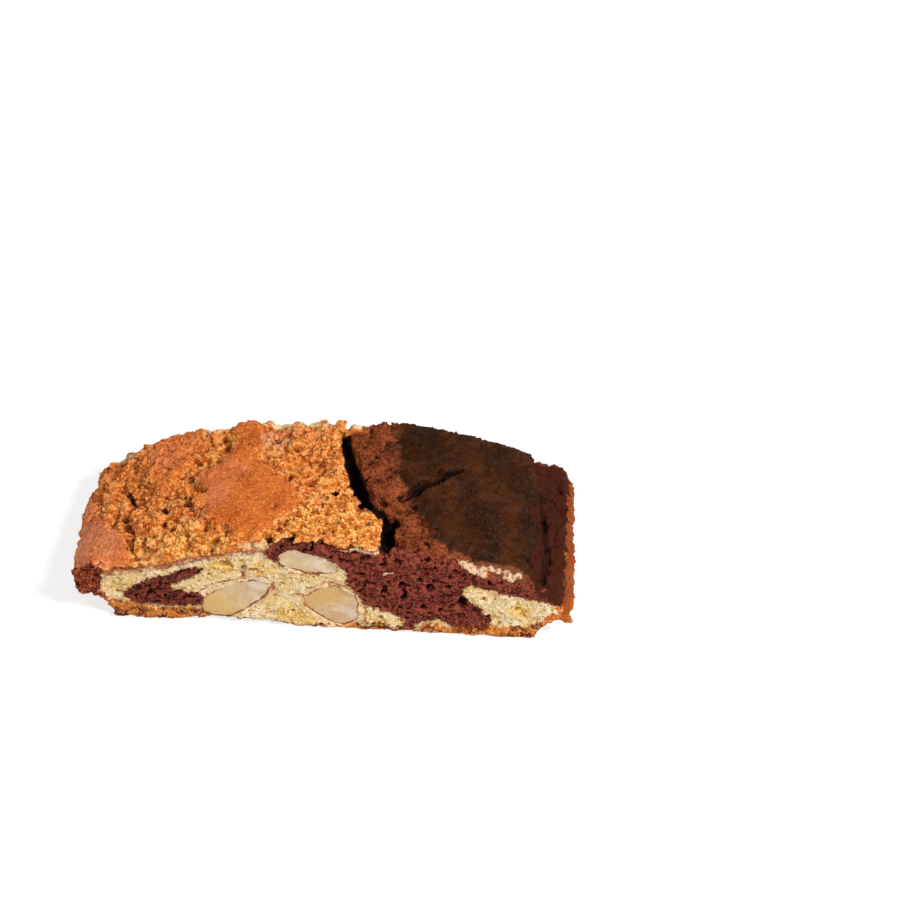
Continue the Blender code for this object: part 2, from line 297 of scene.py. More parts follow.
# Crumbs of the torn crust, fused to the dough: sizes in mm, bias towards small ones, and how far they sink
# in and stay clear of the cut faces, in shares of their size
crumbs = {
    "top": {"count": 2400, "size": (0.4, 1.15), "bias": 2.2, "sink": 0.45, "room": 0.6, "onPlates": 0.03},
    "clods": {"count": 170, "size": (1.1, 2.3), "bias": 1.4, "sink": 0.62, "room": 0.8, "onPlates": 0},
    "lumps": {"count": 190, "size": (0.8, 1.6), "bias": 1.5, "sink": 0.7, "room": 0.7, "x": (-8, 12),
              "y": (-16.4, -3)},
    "rim": {"count": 520, "size": (0.35, 0.85), "bias": 1.6, "room": 0.45, "low": (0.1, 2.2), "front": 0.75},
    "tip": {"count": 150, "size": (0.4, 1.0), "room": 0.4, "x": (-49.5, -44.5), "z": (7.6, 13.5)},
    "foot": {"count": 900, "size": (0.35, 0.9), "bias": 1.6, "room": 0.55, "x": (-42.6, 43),
             "high": (0.7, 3.0), "front": 0.6},
}


def crumbMesh(places, roundness, draw):
    # Many small uneven lumps in one mesh
    batch = bmesh.new()
    for place, size in places:
        stretch = Matrix.Diagonal((size * draw.uniform(0.75, 1.3), size * draw.uniform(0.75, 1.3),
                                   size * draw.uniform(0.6, 1.0), 1))
        tilted = Matrix.Rotation(draw.uniform(0, math.tau), 4,
                                 (draw.uniform(-1, 1), draw.uniform(-1, 1), 0.5))
        made = bmesh.ops.create_icosphere(batch, subdivisions=roundness, radius=1)["verts"]
        for vertex in made:
            vertex.co *= 1 + 0.35 * noise.noise(vertex.co * 1.3)
        bmesh.ops.transform(batch, matrix=Matrix.Translation(place) @ tilted @ stretch, verts=made)
    return meshOf(batch, "crumbs")


def addCrumbs(form, places, roundness, draw):
    for start in range(0, len(places), 60):
        form.from_mesh(crumbMesh(places[start:start + 60], roundness, draw))


def bareSpots(draw, count, onPlates):
    # Random places on the crust, mostly where it is torn, with z on the relief
    x = np.array([draw.uniform(-loaf["leftReach"] - 1, loaf["rightReach"] + 1) for _ in range(5 * count)])
    y = np.array([draw.uniform(-half, half) for _ in range(5 * count)])
    chance = np.array([draw.random() for _ in range(5 * count)])
    clear = splitDepth(x, y, *crust["seam"]) < 1
    inside = np.abs(x) < endReach(x, y, np.ones_like(x)) - 0.6
    kept = np.flatnonzero((chance < onPlates + 1 - plateShare(x, y)) & clear & inside)[:count]
    x, y = x[kept], y[kept]
    return x, y, domeHeight(x, y) + crustRelief(x, y) - rimRoll(x, y)


def drawnSize(kind, draw):
    return mixed(*kind["size"], draw.random() ** kind["bias"])


def crumbPlaces(draw):
    # Where the fused crumbs sit, and how large they are
    for kind in (crumbs["top"], crumbs["clods"]):
        spots = bareSpots(draw, kind["count"], kind["onPlates"])
        for x, y, z in zip(*[values.tolist() for values in spots]):
            size = drawnSize(kind, draw)
            inner = half - kind["room"] * size
            yield Vector((x, min(max(y, -inner), inner), z - kind["sink"] * size)), size
    lumps, rim, tip, foot = crumbs["lumps"], crumbs["rim"], crumbs["tip"], crumbs["foot"]
    for _ in range(lumps["count"]):  # the broken edge beside the seam
        y = draw.uniform(*lumps["y"])
        x = draw.uniform(lumps["x"][0], min(lumps["x"][1], seamX(y) - 1.6))
        size = drawnSize(lumps, draw)
        z = float(domeHeight(x, y)) - lumps["sink"] * size
        yield Vector((x, max(y, -half + lumps["room"] * size), z)), size
    for _ in range(rim["count"]):  # along the torn edge between crust and cut face
        side = -1 if draw.random() < rim["front"] else 1
        x = draw.uniform(-46, 14) if draw.random() < 0.75 else draw.uniform(14, 44)
        size = drawnSize(rim, draw)
        y = side * (half - rim["room"] * size)
        top = domeHeight(x, y) - rimRoll(x, y) + np.minimum(crustRelief(x, y), 0)
        yield Vector((x, y, float(top) - draw.uniform(*rim["low"]))), size
    for _ in range(tip["count"]):  # the crumbly front left corner
        size = draw.uniform(*tip["size"])
        yield Vector((draw.uniform(*tip["x"]), -half + tip["room"] * size, draw.uniform(*tip["z"]))), size
    for _ in range(foot["count"]):
        x = draw.uniform(foot["x"][0], -30) if draw.random() < 0.25 else draw.uniform(*foot["x"])
        size = drawnSize(foot, draw)
        z = float(baseLift(np.array([x]), np.array([-half]))[0]) + size * draw.uniform(*foot["high"])
        side = -1 if draw.random() < foot["front"] else 1
        yield Vector((x, side * (half - foot["room"] * size), z)), size


def remeshed(form, voxel):
    # One closed skin around everything in the form
    thing = placed("dough_form", meshOf(form, "dough_form"))
    remesh = thing.modifiers.new("remesh", "REMESH")
    remesh.mode = "VOXEL"
    remesh.voxel_size = voxel
    skin = evaluated(thing)
    bpy.data.objects.remove(thing)
    return skin


def readPoints(mesh):
    points = np.zeros(len(mesh.vertices) * 3)
    mesh.vertices.foreach_get("co", points)
    normals = np.zeros(len(mesh.vertices) * 3)
    mesh.vertices.foreach_get("normal", normals)
    return points.reshape(-1, 3), normals.reshape(-1, 3)


def writePoints(mesh, points):
    mesh.vertices.foreach_set("co", points.reshape(-1))
    mesh.update()


def addField(mesh, name, values):
    field = mesh.attributes.new(name, "FLOAT", "POINT")
    field.data.foreach_set("value", np.asarray(values, np.float32))


def hollowness(mesh, points, normals, rounds):
    # How far a point lies below its smoothed surroundings, in mm
    edges = np.zeros(len(mesh.edges) * 2, np.int64)
    mesh.edges.foreach_get("vertices", edges)
    first, second = edges.reshape(-1, 2).T
    count = np.bincount(first, minlength=len(points)) + np.bincount(second, minlength=len(points))
    smooth = points.copy()
    for _ in range(rounds):
        for axis in range(3):
            column = smooth[:, axis]
            total = np.bincount(first, column[second], len(points))
            total = total + np.bincount(second, column[first], len(points))
            smooth[:, axis] = (column + total / count) / 2
    return np.einsum("ij,ij->i", smooth - points, normals)


# Hollows torn in the crumb of the front cut face: x, z, half width, half height and depth in mm
tears = [(-18.7, 18.8, 2.3, 1.0, 0.8), (-13, 17.4, 1.4, 0.8, 0.8), (-15.4, 15.4, 0.5, 1.1, 0.6),
         (29, 10.6, 1.3, 2.2, 1.6), (8.6, 17.9, 1.4, 1.0, 1.3), (16.8, 15.2, 0.9, 1.4, 1.5),
         (22.4, 14.4, 1.0, 1.3, 1.5), (26.2, 18.4, 1.1, 0.8, 1.1), (20.4, 17.2, 0.9, 0.8, 1.2),
         (13, 11.3, 0.8, 0.5, 0.9), (-35, 8.2, 1.4, 0.7, 0.9), (-31, 11.4, 1.2, 0.6, 0.8),
         (-26, 7.8, 1.0, 0.6, 0.8), (40, 9.4, 1.1, 0.7, 0.8), (36.5, 4.2, 0.8, 0.6, 0.9),
         (44, 6.6, 0.7, 0.8, 0.7), (-7.5, 13.6, 0.9, 0.5, 0.7), (-5.6, 5.2, 0.8, 0.6, 0.7),
         (-41, 8, 1.0, 0.6, 0.8), (12.4, 4.2, 0.7, 0.5, 0.7), (33, 12, 0.6, 0.9, 0.8),
         (18.2, 6.4, 0.9, 0.5, 0.9), (24.5, 8.2, 0.7, 0.6, 0.9), (-22, 15.2, 0.8, 0.6, 0.7)]


def tearDepth(x, z):
    u, v = x + 0.5 * noiseAt(x, z, 130, 1.2), z + 0.5 * noiseAt(x, z, 150, 1.2)
    return np.max([depth * fade(0.3, 1.15, np.hypot((u - middleX) / wide, (v - middleZ) / tall))
                   for middleX, middleZ, wide, tall, depth in tears], axis=0)


# Fine relief in mm: how much of the crumb's grain, body and swell each surface has, and how fine the skin is
relief = {"spacings": (0.85, 1.7, 3.4), "crumb": (0.2, 0.26, 0.25), "torn": (0.3, 0.55, 0.35),
          "skin": (0.14, 0.14, 0.1), "deepest": -1.6, "voxel": 0.43}


def roughen(mesh):
    # Open crumb on the cut faces, torn crumb on the crust, faint grain on the plates
    points, normals = readPoints(mesh)
    x, y, z = points.T
    cut = fade(0.6, 1.5, half - np.abs(y)) * smoothStep(0.35, 0.75, np.abs(normals[:, 1]))
    base = fade(0.15, 0.9, z)
    plate = plateShare(x, y) * smoothStep(0.3, 0.6, normals[:, 2])
    waves = [noiseAt(x, y + 30 * turn, z, spacing) for turn, spacing in enumerate(relief["spacings"])]
    crumb, torn, skin = [sum(share * wave for share, wave in zip(relief[name], waves))
                         for name in ("crumb", "torn", "skin")]
    holes = 0.8 * smoothStep(0.2, 0.5, noiseAt(x, y, z + 90, 1.5))
    holes = holes + 0.7 * smoothStep(0.34, 0.6, noiseAt(x, y, z + 120, 2.6))
    cocoa = smoothStep(-0.6, 0.6, cocoaDepth(points, np.full(len(x), 9.0), np.zeros(len(x))))
    holes = holes * mixed(0.5, 1.1, cocoa) * (0.35 + 0.65 * smoothStep(-0.25, 0.25, waves[2]))
    mirrored = np.where(y < 0, x, -x)  # the hidden face is torn like the one that shows
    crumb = crumb - holes + 0.12 - tearDepth(mirrored, z)
    torn = torn - 0.5 * smoothStep(0.15, 0.5, noiseAt(x, y, z + 150, 2))
    skin = skin * (1 + 0.8 * smoothStep(*crust["cocoaFrom"], x))
    push = mixed(mixed(torn, skin, plate), np.maximum(crumb, relief["deepest"]), cut) * (1 - base)
    writePoints(mesh, points + normals * push[:, None])


def keptInside(mesh, shift):
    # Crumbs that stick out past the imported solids' box by more than a little are pressed back
    points, _ = readPoints(mesh)
    spare = np.array([0.6, 0.35, 0.55])
    low = np.array(cadBox[0]) / mm - shift - spare * (1, 1, 0)
    high = np.array(cadBox[1]) / mm - shift + spare
    writePoints(mesh, np.clip(points, low, high))


# The cut faces' cocoa dough, as x and z in mm
marbling = {
    "front": [
        [(-40.5, 6.5), (-40, 8.6), (-37.5, 11), (-34.5, 13.3), (-31, 14.8), (-28, 16.2), (-24.4, 17.8),
         (-23.2, 16.6), (-24.5, 14.6), (-27.5, 12.8), (-30, 11), (-29.6, 9.9), (-24.3, 9.7), (-23.6, 7.3),
         (-24.2, 5), (-29, 4.2), (-34, 4.7), (-37.5, 4.6)],
        [(-10.6, 23.4), (-8.8, 26), (-4.4, 27.6), (-1, 28.4), (2, 28), (5, 27), (9, 26), (12, 25.8),
         (16, 27), (24, 25.5), (27, 23.4), (29.5, 21.2), (33, 19.6), (36, 21), (44, 21), (52, 24), (54, 11),
         (50, 10.6), (47.5, 11.2), (45, 12.2), (42, 13), (38, 13.8), (34, 15), (30.5, 16), (29, 14.5),
         (30, 12), (31.5, 10), (33.5, 8.5), (35, 6), (34.5, 2.5), (31, 2), (29, 1.2), (27, 2.4), (24, 4.5),
         (20, 3.2), (19, 0.5), (16, 0.3), (17, 3.5), (14.5, 6), (11, 6.8), (8.5, 8.5), (7.5, 11), (6, 14),
         (5.2, 15.2), (5.6, 17), (4.6, 20), (2, 22), (-2, 23), (-5, 23), (-6.6, 21.4),
         (-6.4, 18.3), (-8, 19.2), (-10, 21.2)],
        [(-55, 16), (-44.2, 16), (-43.9, 12), (-45, 8.5), (-46.5, 5.5), (-55, 5.5)],
    ],
    "back": [
        [(-49, 3), (-45, 9), (-37, 14.5), (-28, 17.5), (-19, 19), (-12, 17), (-8, 12.5), (-9.5, 9),
         (-15, 8.2), (-15.5, 12), (-20, 14.6), (-28, 13), (-31, 9), (-29, 5), (-36, 3.2), (-42, 4.5)],
        [(3, 27), (8, 24.5), (14, 22), (20, 20.5), (27, 19), (31, 14), (30, 8.5), (35, 5), (42, 6.5),
         (54, 12), (54, 26), (30, 27)],
        [(-3, 8.5), (4, 11.2), (11, 12.2), (15.5, 9), (17, 4), (12, 2.6), (8.5, 6.5), (2, 6.8)],
    ],
    "under": [
        [(-60, 8), (-40, 2), (-27, 6), (-15, 3), (-12, 9), (-24, 14), (-60, 20)],
        [(6, -20), (9, -8), (17, -3), (13, 5), (20, 11), (18, 20), (60, 20), (60, -20), (36, -20), (31, -8),
         (24, -9), (20, -20)],
    ],
}


def cocoaDepth(points, shell, base):
    # How deep in the cocoa dough a point lies, in mm. Cut faces, crust and base each have their own.
    x, y, z = points.T
    inner = mixed(deepest(x, z, marbling["front"]), deepest(x, z, marbling["back"]),
                  smoothStep(3 - half, half - 3, y))
    # Seen from above the cocoa starts at the seam. The outermost right end and its foot are plain dough.
    top = np.minimum(x - seamX(y), np.minimum(49.3 - x, z - 10.5))
    cut = fade(0.9, 2.2, half - np.abs(y))
    crustward = fade(mixed(0.8, 0.1, cut), mixed(1.8, 0.6, cut), shell)
    return mixed(mixed(inner, top, crustward), deepest(x, y, marbling["under"]), base)


def shellDepth(points):
    # Distance in mm below the browned outside of the loaf
    x, y, z = points.T
    height = domeHeight(x, y) - rimRoll(x, y)
    slope = np.hypot(1, domeHeight(x + 0.5, y) - domeHeight(x - 0.5, y))
    inside = endReach(x, y, np.clip(z / height, 0, 1)) - np.abs(x)
    return np.minimum((height + 0.4 - z) / slope, inside + 0.3)


# Soft patches of colour: middle, reach and strength, in mm. Crust patches are seen from above.
patches = {
    "blush": [(-46, -10, 8, 1), (-33.5, 12, 8, 0.6), (-22, -4, 5, 0.5), (-19, 3, 4, 0.35), (-44, -15, 6, 1),
              (-24, 1, 3.5, 0.35), (-49, 2, 7, 0.7)],
    "gold": [(-34, -15, 5, 1), (-27, -14, 6, 1), (-20, -17, 4, 0.9), (-11, -17, 5, 0.8), (-3, -12, 6, 0.9),
             (7, -12, 7, 1), (2, -2, 6, 0.5), (0, 8, 6, 0.3), (-20.5, 12, 3.5, 0.8), (-12, 8, 4, 0.4),
             (-24, 6, 3, 0.8), (-17, 8, 4, 0.4)],
    "dusty": [(-11.4, 11, 4.2, 0.9), (-9.5, 16, 4, 0.8), (-22, -4, 1.6, 0.8), (-26.5, 1.5, 2, 0.5),
              (-2, 15, 4, 0.4), (-33, -16, 4, 0.4), (-30, -4, 3, 0.3), (-26, -9, 3, 0.4)],
    "yellow": [(-19, 18.6, 3.6, 1), (-12, 17.6, 2.6, 0.8), (-2, 16.2, 3, 0.5), (-7, 7, 3, 0.4),
               (-40, 10.5, 3, 0.5), (40.5, 9, 3.5, 0.7), (44, 5, 2.6, 0.5), (-21.5, 15, 2.6, 0.5),
               (12, 3, 2.4, 0.6), (28, 3, 2, 0.5), (-7, 4, 4, 0.6), (-26, 15, 1.6, 0.3), (-4, 2.5, 4, 0.7),
               (10.5, 4.5, 2.4, 0.5)],
    "tip": [(-48.5, 11, 4.6, 1), (-46, 6.5, 3, 1), (-47.5, 14, 3.6, 1), (-44.6, 14.6, 1.6, 0.8)],
    "core": [(-34, 8.6, 6, 1), (-28, 6.6, 4, 0.9), (-30, 13, 3, 0.6), (29, 10, 3, 0.9), (26, 13, 3, 0.5),
             (-2, 25, 3, 0.5), (12, 16, 3.4, 0.4), (47, 17, 4, 0.7)],
}


# Lines of colour with their half widths: on the crust as x and y, on the front cut face as x and z
streaks = {
    # The rust lines are partly a painted pool of light beside the seam and partly the crust's redder colour
    "rustAndLitEdge": [[(6, 20, 9), (5.4, 12, 9), (8, 5, 7.5), (11, -1, 5.5), (14, -6, 5), (17, -12.5, 6)],
             [(18, -15, 5), (24, -17, 4), (32, -18, 3)]],
    # The tan line is a lighter rim colour and partly a painted sheen along the cocoa plate's rounded front
    # edge
    "tan": [[(27, -17.6, 1.5), (33, -17.2, 2.6), (38, -16.8, 2.8), (42, -16.4, 1.8)]],
    "pale": [[(-16, 24.2, 0.4), (-11, 25.4, 0.5), (-8, 26.6, 0.3)],
             [(5, 25.6, 0.3), (9, 25.3, 0.5), (13.4, 24.9, 0.5)], [(13.4, 18.6, 0.4), (14.8, 18.8, 0.35)],
             [(23.5, 24.2, 0.35), (27, 23.4, 0.5), (29, 22.2, 0.7), (31, 20.9, 0.8), (33, 20.6, 0.7),
              (35.5, 20.4, 0.6), (39, 18.8, 0.7), (42.4, 18.6, 0.5)]],
    "stain": [[(-43.5, 13.8, 0.9), (-36.3, 15.9, 1.3), (-31, 17.5, 1.3), (-25, 20, 1.2), (-18.3, 22.1, 1.0),
               (-13, 23.4, 0.9), (-9.5, 24, 0.8)],
              [(-24.4, 10, 0.3), (-21.5, 12.4, 0.5), (-18, 13.8, 0.3), (-14, 15.6, 0.6), (-11, 15.8, 0.35),
               (-9.2, 14, 0.4), (-9.4, 12, 0.7), (-11, 9, 0.5)],
              [(-15, 17.6, 0.6), (-14.2, 15.8, 0.9)], [(-6.4, 10, 0.3), (-3.6, 10.6, 0.6), (-2.9, 7, 0.3)],
              [(-6, 17.6, 0.3), (0, 17.2, 0.35), (4, 15.4, 0.3)],
              [(-2.4, 12.4, 0.3), (1.4, 14.8, 0.45), (5.6, 14, 0.5), (8.6, 10.4, 0.45), (9.4, 6.6, 0.6),
               (9, 3, 0.4)]],
}


def streakShare(u, v, lines):
    return np.max([splitDepth(u, v, 1, line) for line in lines], axis=0)


def patchShare(u, v, spots):
    return np.max([strength * fade(0.35, 1.15, np.hypot(u - middleU, v - middleV) / reach)
                   for middleU, middleV, reach, strength in spots], axis=0)


# How much deeper than elsewhere the crust reaches on the front cut face, and how high its foot is toasted
crustDepths = [(-50, -2.5), (-46, -1.5), (-41, 1.2), (-33, 2.4), (-25, 2.1), (-18, 1.5), (-10, 0.7),
               (-5, 0.2), (14, 0), (42, 0), (46, 1.2), (49, 2.6)]
footHeights = [(-47, 7.2), (-40, 5.6), (-34, 4.6), (-25, 4.4), (-15, 2.2), (-6, 1.6), (3, 1.4), (8, 2.6),
               (13, 3), (18, 0.8), (22, 3.4), (30, 2.8), (36, 4), (42, 4.4), (47, 7)]


def paintFields(mesh):
    # What the dough's finish reads at each point
    points, normals = readPoints(mesh)
    x, y, z = points.T
    shell = shellDepth(points)
    cut = fade(0.9, 2.2, half - np.abs(y))
    base = fade(0.1, 0.5, z + 0.8 * (1 + normals[:, 2]))
    mirrored = np.where(y < 0, x, -x)  # the hidden face is like the one that shows, turned round
    thick = np.where(y < 0, np.interp(x, *zip(*crustDepths)), 0.3)
    skinned = plateShare(x, y)
    cracks = np.max([splitDepth(x, y, 0.3 * depth, path) for depth, path in crust["splits"]], axis=0)
    gap = np.maximum(splitDepth(x, y, 1, crust["seam"][1]), cracks * np.where(x > 12, 1, 0.55))
    fields = {
        "cocoa": np.clip(cocoaDepth(points, shell, base), -4, 4),
        "shell": np.clip(shell - thick * cut, -2, 6),
        "cut": cut,
        "foot": z - np.interp(mirrored, *zip(*footHeights)),
        "wall": (1 - skinned) * smoothStep(34, 38, x),
        "end": smoothStep(48.4, 49.6, x + 0.8 * noiseAt(x, y, z, 2)),
        # Where the seam and splits run, for the painted shade in them
        "gap": gap * fade(12, 15, y) * (1 - cut),
        "plate": skinned * smoothStep(-0.9, 0.1, z - domeHeight(x, y) + rimRoll(x, y)),
        "pale": streakShare(x, z, streaks["pale"]) * cut * (y < 0),
        "stain": streakShare(mirrored, z, streaks["stain"]) * cut,
        # Hollowness at two scales; the finish reads it to paint shade into hollows and highlights onto the
        # tops of bumps
        "hollow": hollowness(mesh, points, normals, 5),
        "paintedShadeDip": hollowness(mesh, points, normals, 40),
    }
    for name in ("blush", "gold", "dusty"):
        fields[name] = patchShare(x, y, patches[name])
    for name in ("yellow", "tip", "core"):
        fields[name] = patchShare(mirrored, z, patches[name]) * cut
    for name in ("rustAndLitEdge", "tan"):
        fields[name] = streakShare(x, y, streaks[name])
    for name, values in fields.items():
        addField(mesh, name, values)


# Almonds, in mm and degrees: the face that cuts them, their place, tilt and size, how far their middle lies
# behind the cut, and how yellow and mottled they are
almondTraits = ("face", "x", "z", "tilt", "length", "width", "depth", "behind", "yellow", "mottle")
almonds = {
    "almond_front_top": (-1, -1.6, 20.5, -17, 13.9, 7.0, 17, 3.0, 0.1, 0.35),
    "almond_front_left": (-1, -17.0, 8.2, 38, 18.2, 8.5, 12, 1.5, 0.9, 0.5),
    "almond_front_low": (-1, 3.1, 7.2, -58, 13.5, 10.8, 16, 2.5, 0.9, 1.0),
    "almond_back_right": (1, 24.0, 10.5, 24, 15.5, 7.4, 13, 2.0, 0.5, 0.9),
    "almond_back_middle": (1, 3.0, 17.5, -14, 12.8, 5.8, 16, 3.0, 0.1, 0.2),
    "almond_back_left": (1, -21.5, 8.6, -32, 14.0, 8.4, 15, 2.5, 0.7, 0.5),
}
almonds = {name: dict(zip(almondTraits, traits)) for name, traits in almonds.items()}
kernels = {"taper": 0.24, "sides": 84, "sunk": 0.1, "pocketGap": -0.04, "pocketSides": 60}


def almondBody(almond, grow, sides):
    body = bmesh.new()
    bmesh.ops.create_uvsphere(body, u_segments=sides, v_segments=sides * 2 // 3, radius=1)
    bmesh.ops.rotate(body, verts=body.verts, matrix=Matrix.Rotation(math.pi / 2, 3, "Y"))
    for vertex in body.verts:
        along, deep, up = vertex.co
        girth = 1 - kernels["taper"] * along
        uneven = 1 + 0.09 * noise.noise(Vector((along, deep, up)) * 1.4 + Vector((almond["x"], 0, 0)))
        vertex.co = Vector((along * (almond["length"] / 2 + grow),
                            deep * girth * (almond["depth"] / 2 + grow),
                            up * girth * (almond["width"] / 2 + grow))) * uneven
    middleY = almond["face"] * (half - almond["behind"])
    place = Matrix.Translation((almond["x"], middleY, almond["z"]))
    turned = Matrix.Rotation(-math.radians(almond["tilt"]), 4, "Y")
    bmesh.ops.transform(body, matrix=place @ turned, verts=body.verts)
    return body


def almondReach(x, z, face):
    # Below 1 where an almond shows on a cut face
    nearest = np.full(np.shape(x), 9.0)
    for almond in almonds.values():
        if almond["face"] == face:
            turn = math.radians(almond["tilt"])
            offX, offZ = x - almond["x"], z - almond["z"]
            along = (offX * math.cos(turn) + offZ * math.sin(turn)) / (almond["length"] / 2)
            up = (offZ * math.cos(turn) - offX * math.sin(turn)) / (almond["width"] / 2)
            nearest = np.minimum(nearest, np.hypot(along, up / (1 - kernels["taper"] * along)))
    return nearest


def almondMesh(name, almond):
    # The whole kernel, sliced off level with the dough's cut face
    body = almondBody(almond, 0, kernels["sides"])
    face = almond["face"]
    cutY = face * (half - kernels["sunk"])
    sides = body.verts[:] + body.edges[:] + body.faces[:]
    sliced = bmesh.ops.bisect_plane(body, geom=sides, plane_co=(0, cutY, 0), plane_no=(0, face, 0))
    rim = [part.co.copy() for part in sliced["geom_cut"] if isinstance(part, bmesh.types.BMVert)]
    for vertex in body.verts:
        if vertex.co.y * face > cutY * face:
            x, _, z = vertex.co
            vertex.co.y = cutY + face * (0.1 * noise.noise(Vector((x, 5, z)) / 2.4) - 0.02)
    mesh = meshOf(body, name)
    points, _ = readPoints(mesh)
    rimX, _, rimZ = np.array(rim).T
    away = np.hypot(points[:, :1] - rimX, points[:, 2:] - rimZ).min(axis=1)
    onCut = np.abs(points[:, 1] - cutY) < 0.15
    addField(mesh, "rim", np.where(onCut, away, -1))
    turn = math.radians(almond["tilt"])
    along = (points[:, 0] - almond["x"]) * math.cos(turn) + (points[:, 2] - almond["z"]) * math.sin(turn)
    addField(mesh, "along", along / almond["length"] * 2)
    for quality in ("yellow", "mottle"):
        addField(mesh, quality, np.full(len(points), almond[quality]))
    return mesh


def cutPockets(mesh):
    # Sockets for the almonds
    work = placed("dough_work", mesh)
    cutters = []
    for name, almond in almonds.items():
        body = almondBody(almond, kernels["pocketGap"], kernels["pocketSides"])
        cutters.append(placed(name + "_pocket", meshOf(body, name + "_pocket")))
        pocket = work.modifiers.new(name, "BOOLEAN")
        pocket.operation = "DIFFERENCE"
        pocket.solver = "MANIFOLD"
        pocket.object = cutters[-1]
    done = evaluated(work)
    for thing in cutters + [work]:
        bpy.data.objects.remove(thing)
    return done


# Colours, as they look in even light; some dough hues also carry painted shade, painted highlights, a
# painted cast shadow and a painted pool of light
def colour(red, green, blue):
    channels = [channel / 255 for channel in (red, green, blue)]
    return tuple(c / 12.92 if c <= 0.04045 else ((c + 0.055) / 1.055) ** 2.4 for c in channels) + (1,)


class Finish:
    # A material in the making, with its own hues and short ways to add nodes
    def __init__(self, name, hues):
        self.material = bpy.data.materials.new(name)
        self.material.use_nodes = True
        self.tree = self.material.node_tree
        self.shader = self.tree.nodes["Principled BSDF"]
        self.hues = {hue: colour(*value) for hue, value in hues.items()}

    def plug(self, socket, value):
        # A number, another node's socket, or a hue by its name
        if isinstance(value, bpy.types.NodeSocket):
            self.tree.links.new(value, socket)
        else:
            socket.default_value = self.hues[value] if isinstance(value, str) else value

    def node(self, kind, inputs, output, **settings):
        made = self.tree.nodes.new(kind)
        for name, value in settings.items():
            setattr(made, name, value)
        for name, value in inputs.items():
            self.plug(made.inputs[name], value)
        return made.outputs[output]

    def field(self, name):
        return self.node("ShaderNodeAttribute", {}, "Fac", attribute_name=name)

    def millimetres(self):
        place = self.node("ShaderNodeTexCoord", {}, "Object")
        return self.node("ShaderNodeVectorMath", {0: place, "Scale": 1 / mm}, "Vector", operation="SCALE")

    def speckle(self, place, spacing, detail=2.0, shift=0.0):
        moved = self.node("ShaderNodeVectorMath", {0: place, 1: (shift, shift, shift)}, "Vector",
                          operation="ADD")
        pattern = {"Vector": moved, "Scale": 1 / spacing, "Detail": detail, "Roughness": 0.6}
        return self.node("ShaderNodeTexNoise", pattern, "Fac")

    def figure(self, operation, *values):
        return self.node("ShaderNodeMath", dict(enumerate(values)), "Value", operation=operation)

    def times(self, share, *others):
        for other in others:
            share = self.figure("MULTIPLY", share, other)
        return share

    def frayed(self, value, grain, strength):
        # A value that wanders with the grain
        return self.figure("MULTIPLY_ADD", self.figure("SUBTRACT", grain, 0.5), strength, value)

    def ramp(self, value, low, high, start=0.0, end=1.0):
        limits = {"Value": value, "From Min": low, "From Max": high, "To Min": start, "To Max": end}
        return self.node("ShaderNodeMapRange", limits, "Result", interpolation_type="SMOOTHSTEP")

    def layered(self, under, *layers):
        # Colours laid over one another, each with the share of it that shows
        for over, share in layers:
            under = self.node("ShaderNodeMix", {0: share, 6: under, 7: over}, 2, data_type="RGBA")
        return under


dough = {
    "crumb": (214, 180, 122), "crumbPale": (230, 209, 170), "crumbYellow": (204, 156, 44),
    "crumbBrown": (146, 62, 34), "crumbPaintedShade": (176, 118, 42), "crumbTan": (208, 156, 88),
    "toast": (196, 116, 46), "toastDark": (100, 36, 8), "toastTip": (234, 170, 94),
    "cocoaCrumb": (84, 25, 17), "cocoaDark": (26, 3, 1), "cocoaLight": (164, 80, 60),
    "skin": (200, 102, 30), "skinDark": (166, 70, 14), "blush": (232, 138, 92), "skinTip": (240, 158, 98),
    "rough": (206, 106, 34), "roughPaintedShade": (96, 32, 4), "roughHighlight": (240, 164, 92), "gold": (218, 130, 38),
    "goldHighlight": (250, 192, 108), "dusty": (216, 164, 120), "brown": (154, 64, 14),
    # The cocoa skin hues are the crust's dark colour with a painted cast shadow on it; the rust hue is
    # partly a painted pool of light
    "shadedCocoaSkin": (68, 30, 2), "shadedCocoaSkinDark": (36, 14, 0), "rustAndLitEdge": (156, 76, 42), "cocoaTip": (104, 60, 26),
    # seam is a near black painted shade for the depths of splits and holes; tan is partly a painted sheen
    "seam": (20, 6, 3), "tan": (120, 68, 42), "flake": (222, 186, 150), "tip": (128, 50, 22),
    "tipDark": (66, 16, 3), "tipLight": (196, 112, 70),
    "wall": (74, 31, 20), "end": (132, 60, 28),
}


